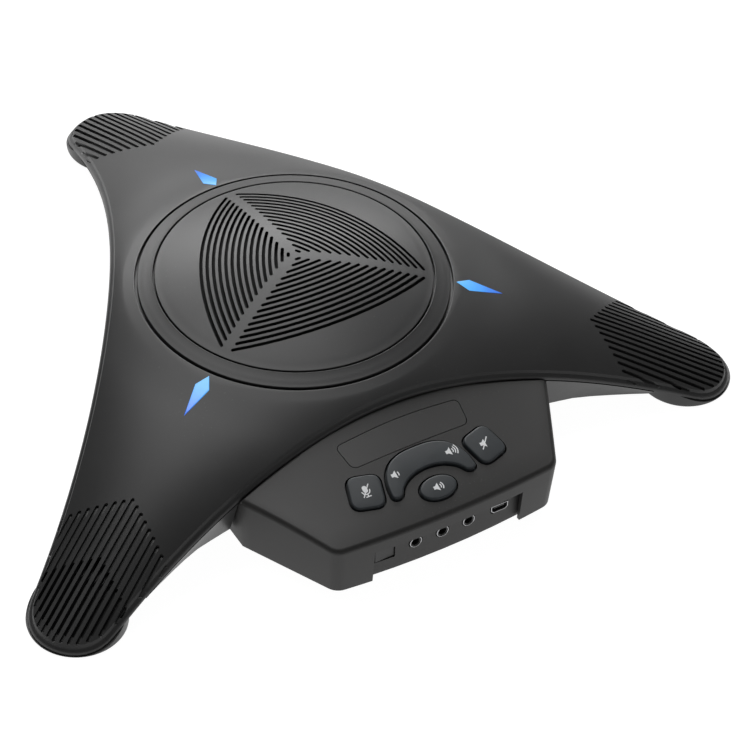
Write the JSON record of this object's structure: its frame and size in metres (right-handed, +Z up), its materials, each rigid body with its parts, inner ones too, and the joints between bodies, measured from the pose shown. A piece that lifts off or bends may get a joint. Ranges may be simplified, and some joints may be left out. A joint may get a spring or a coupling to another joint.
{
  "type": "conference speakerphone",
  "caption": "Three-armed conference speakerphone with a domed loudspeaker grille, slotted arm tips, blue light pipes and a front key console with mute, talk and volume keys.",
  "frame": {"origin": "middle of the footprint's bounding box, on the surface that the foot pads stand on", "axes": "+Z up, -Y towards the key console, +Y along the back arm, +X to the right seen from the console"},
  "size_m": [0.3256, 0.3117, 0.065],
  "materials": {
    "shell": "satin moulded charcoal plastic with a very fine grain",
    "console": "fine-textured charcoal plastic, slightly warmer than the shells",
    "keys": "matt blue-grey silicone keys with pale printed symbols",
    "rubber": "matt black rubber",
    "light_lens": "diffusing blue light pipe",
    "plated_metal": "bright nickel-plated metal",
    "steel": "plain zinc-plated steel",
    "magnet": "dark sintered ferrite",
    "cloth": "black woven acoustic cloth",
    "paper": "black coated paper",
    "circuit_board": "green solder mask",
    "black_plastic": "black moulded plastic",
    "label_film": "blank satin film, no printing",
    "wire": "black wire insulation"
  },
  "bodies": {
    "housing": {"top_shell": "shell", "base_shell": "shell", "speaker_ring": "shell", "speaker_grille": "shell", "console_housing": "console", "console_floor": "console", "port_panel": "console", "socket_blank": "console", "foot_pad_back": "rubber", "foot_pad_left": "rubber", "foot_pad_right": "rubber", "mic_boot_back": "rubber", "mic_boot_left": "rubber", "mic_boot_right": "rubber", "speaker_surround": "rubber", "light_pipe_back": "light_lens", "light_pipe_left": "light_lens", "light_pipe_right": "light_lens", "audio_jack_1": "plated_metal", "audio_jack_2": "plated_metal", "audio_jack_3": "plated_metal", "usb_socket": "plated_metal", "mic_capsule_back": "plated_metal", "mic_capsule_left": "plated_metal", "mic_capsule_right": "plated_metal", "speaker_basket": "steel", "front_plate": "steel", "yoke": "steel", "arm_screw_back": "steel", "arm_screw_left": "steel", "arm_screw_right": "steel", "floor_screw_left": "steel", "floor_screw_right": "steel", "magnet": "magnet", "grille_cloth": "cloth", "main_board": "circuit_board", "key_board": "circuit_board", "led_board_back": "circuit_board", "led_board_left": "circuit_board", "led_board_right": "circuit_board", "speaker_chamber": "black_plastic", "switch_mic_mute": "black_plastic", "switch_speaker_mute": "black_plastic", "switch_talk": "black_plastic", "switch_volume_down": "black_plastic", "switch_volume_up": "black_plastic", "label_inlay": "label_film", "rating_plate": "label_film", "mic_lead_back": "wire", "mic_lead_left": "wire", "mic_lead_right": "wire"},
    "mic_mute": {"mic_mute_key": "keys"},
    "speaker_mute": {"speaker_mute_key": "keys"},
    "talk": {"talk_key": "keys"},
    "volume": {"volume_rocker": "keys"},
    "cone": {"speaker_cone": "paper", "dust_cap": "paper", "voice_coil": "plated_metal"}
  },
  "joints": [
    {"name": "mic_mute_press", "type": "slide", "parent": "housing", "child": "mic_mute", "axis": [-0.0708, -0.2743, 0.959], "range_m": [-0.0008, 0], "stiffness_N_per_m": 1500},
    {"name": "speaker_mute_press", "type": "slide", "parent": "housing", "child": "speaker_mute", "axis": [0.0708, -0.2743, 0.959], "range_m": [-0.0008, 0], "stiffness_N_per_m": 1500},
    {"name": "talk_press", "type": "slide", "parent": "housing", "child": "talk", "axis": [0, -0.275, 0.9615], "range_m": [-0.0008, 0], "stiffness_N_per_m": 1500},
    {"name": "volume_rock", "type": "hinge", "parent": "housing", "child": "volume", "pos_m": [0, -0.14386, 0.03001], "axis": [0, 0.9615, 0.275], "range_deg": [-1.5, 1.5], "stiffness_Nm_per_rad": 0.4},
    {"name": "cone_travel", "type": "slide", "parent": "housing", "child": "cone", "axis": [0, 0, 1], "range_m": [-0.001, 0.001], "stiffness_N_per_m": 2500}
  ]
}
